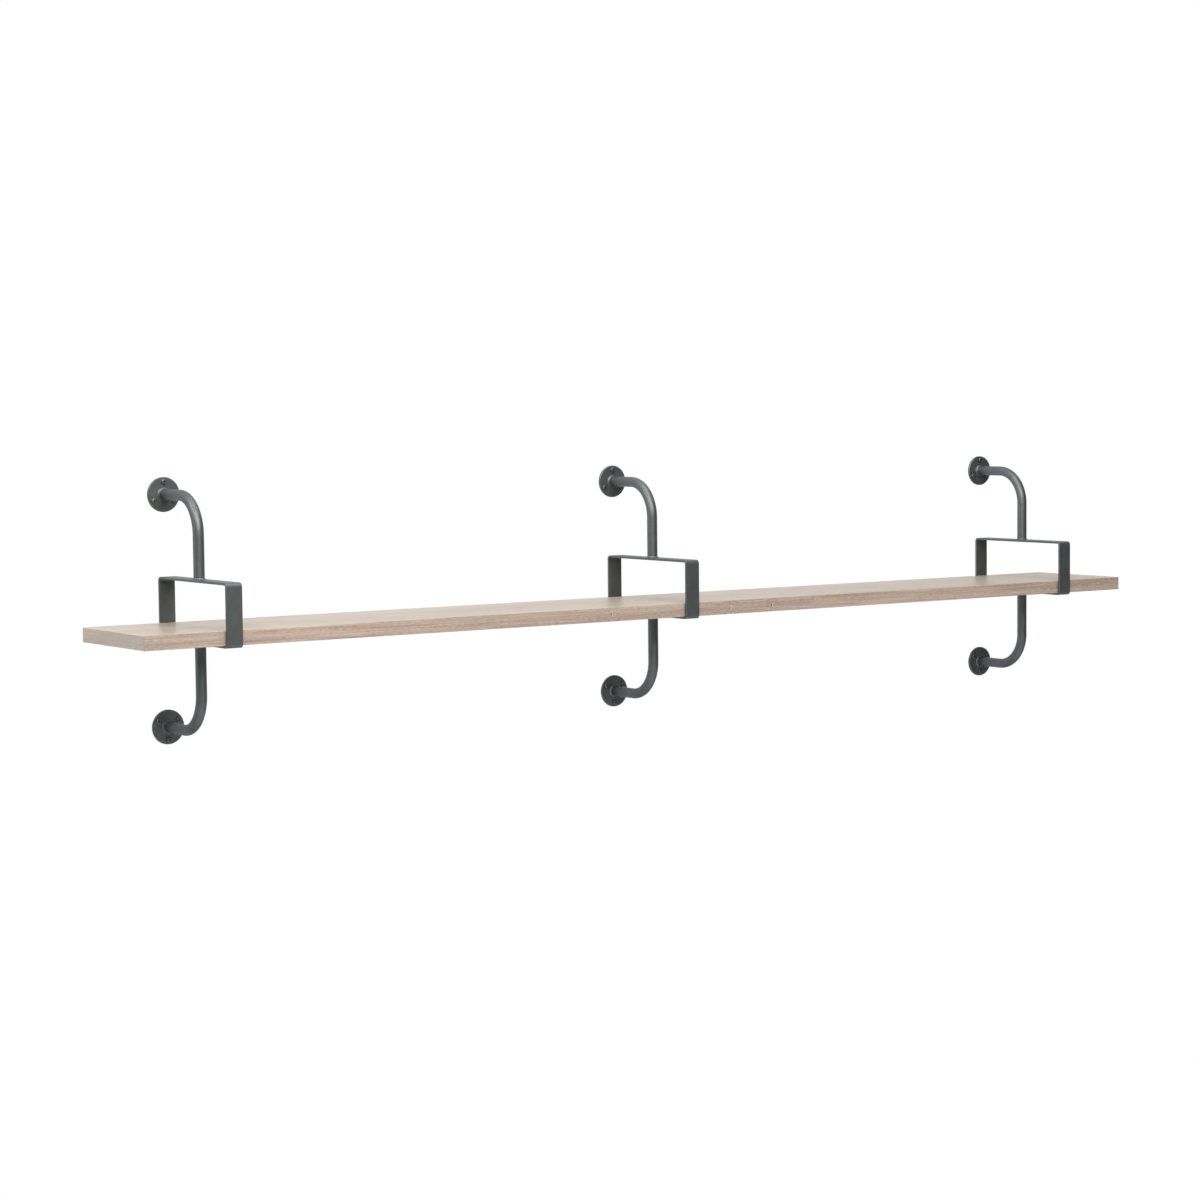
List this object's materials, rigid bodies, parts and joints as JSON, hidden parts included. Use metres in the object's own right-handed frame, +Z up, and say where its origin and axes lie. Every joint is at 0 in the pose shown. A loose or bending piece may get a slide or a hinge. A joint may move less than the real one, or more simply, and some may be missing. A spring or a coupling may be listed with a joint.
{
  "type": "wall shelf",
  "caption": "Long wood-veneered wall shelf board held in closed flat-bar steel loops on bent tube arms with round screwed wall flanges.",
  "frame": {"origin": "centre of the middle bracket's upper flange on the wall plane", "axes": "+X along the board to the picture's right, +Y into the wall, +Z up; the front faces -Y"},
  "size_m": [2.2, 0.291, 0.46],
  "materials": {
    "particle_board": "raw particle board, hidden under veneer",
    "oak_veneer": "sanded veneer under satin lacquer",
    "powder_coated_steel": "anthracite fine-textured powder coat, satin",
    "dark_zinc_plated_steel": "dark zinc-plated screws"
  },
  "bodies": {
    "brackets": {"left_shelf_loop": "powder_coated_steel", "left_upper_arm": "powder_coated_steel", "left_upper_flange": "powder_coated_steel", "left_upper_flange_weld": "powder_coated_steel", "left_upper_loop_weld": "powder_coated_steel", "left_upper_screws": "dark_zinc_plated_steel", "left_lower_arm": "powder_coated_steel", "left_lower_flange": "powder_coated_steel", "left_lower_flange_weld": "powder_coated_steel", "left_lower_loop_weld": "powder_coated_steel", "left_lower_screws": "dark_zinc_plated_steel", "middle_shelf_loop": "powder_coated_steel", "middle_upper_arm": "powder_coated_steel", "middle_upper_flange": "powder_coated_steel", "middle_upper_flange_weld": "powder_coated_steel", "middle_upper_loop_weld": "powder_coated_steel", "middle_upper_screws": "dark_zinc_plated_steel", "middle_lower_arm": "powder_coated_steel", "middle_lower_flange": "powder_coated_steel", "middle_lower_flange_weld": "powder_coated_steel", "middle_lower_loop_weld": "powder_coated_steel", "middle_lower_screws": "dark_zinc_plated_steel", "right_shelf_loop": "powder_coated_steel", "right_upper_arm": "powder_coated_steel", "right_upper_flange": "powder_coated_steel", "right_upper_flange_weld": "powder_coated_steel", "right_upper_loop_weld": "powder_coated_steel", "right_upper_screws": "dark_zinc_plated_steel", "right_lower_arm": "powder_coated_steel", "right_lower_flange": "powder_coated_steel", "right_lower_flange_weld": "powder_coated_steel", "right_lower_loop_weld": "powder_coated_steel", "right_lower_screws": "dark_zinc_plated_steel"},
    "board": {"board_core": "particle_board", "top_veneer": "oak_veneer", "bottom_veneer": "oak_veneer", "front_edge_band": "oak_veneer", "back_edge_band": "oak_veneer", "left_end_band": "oak_veneer", "right_end_band": "oak_veneer"}
  },
  "joints": [
    {"name": "board_slide", "type": "slide", "parent": "brackets", "child": "board", "axis": [1, 0, 0], "range_m": [-0.14, 0.14]}
  ]
}
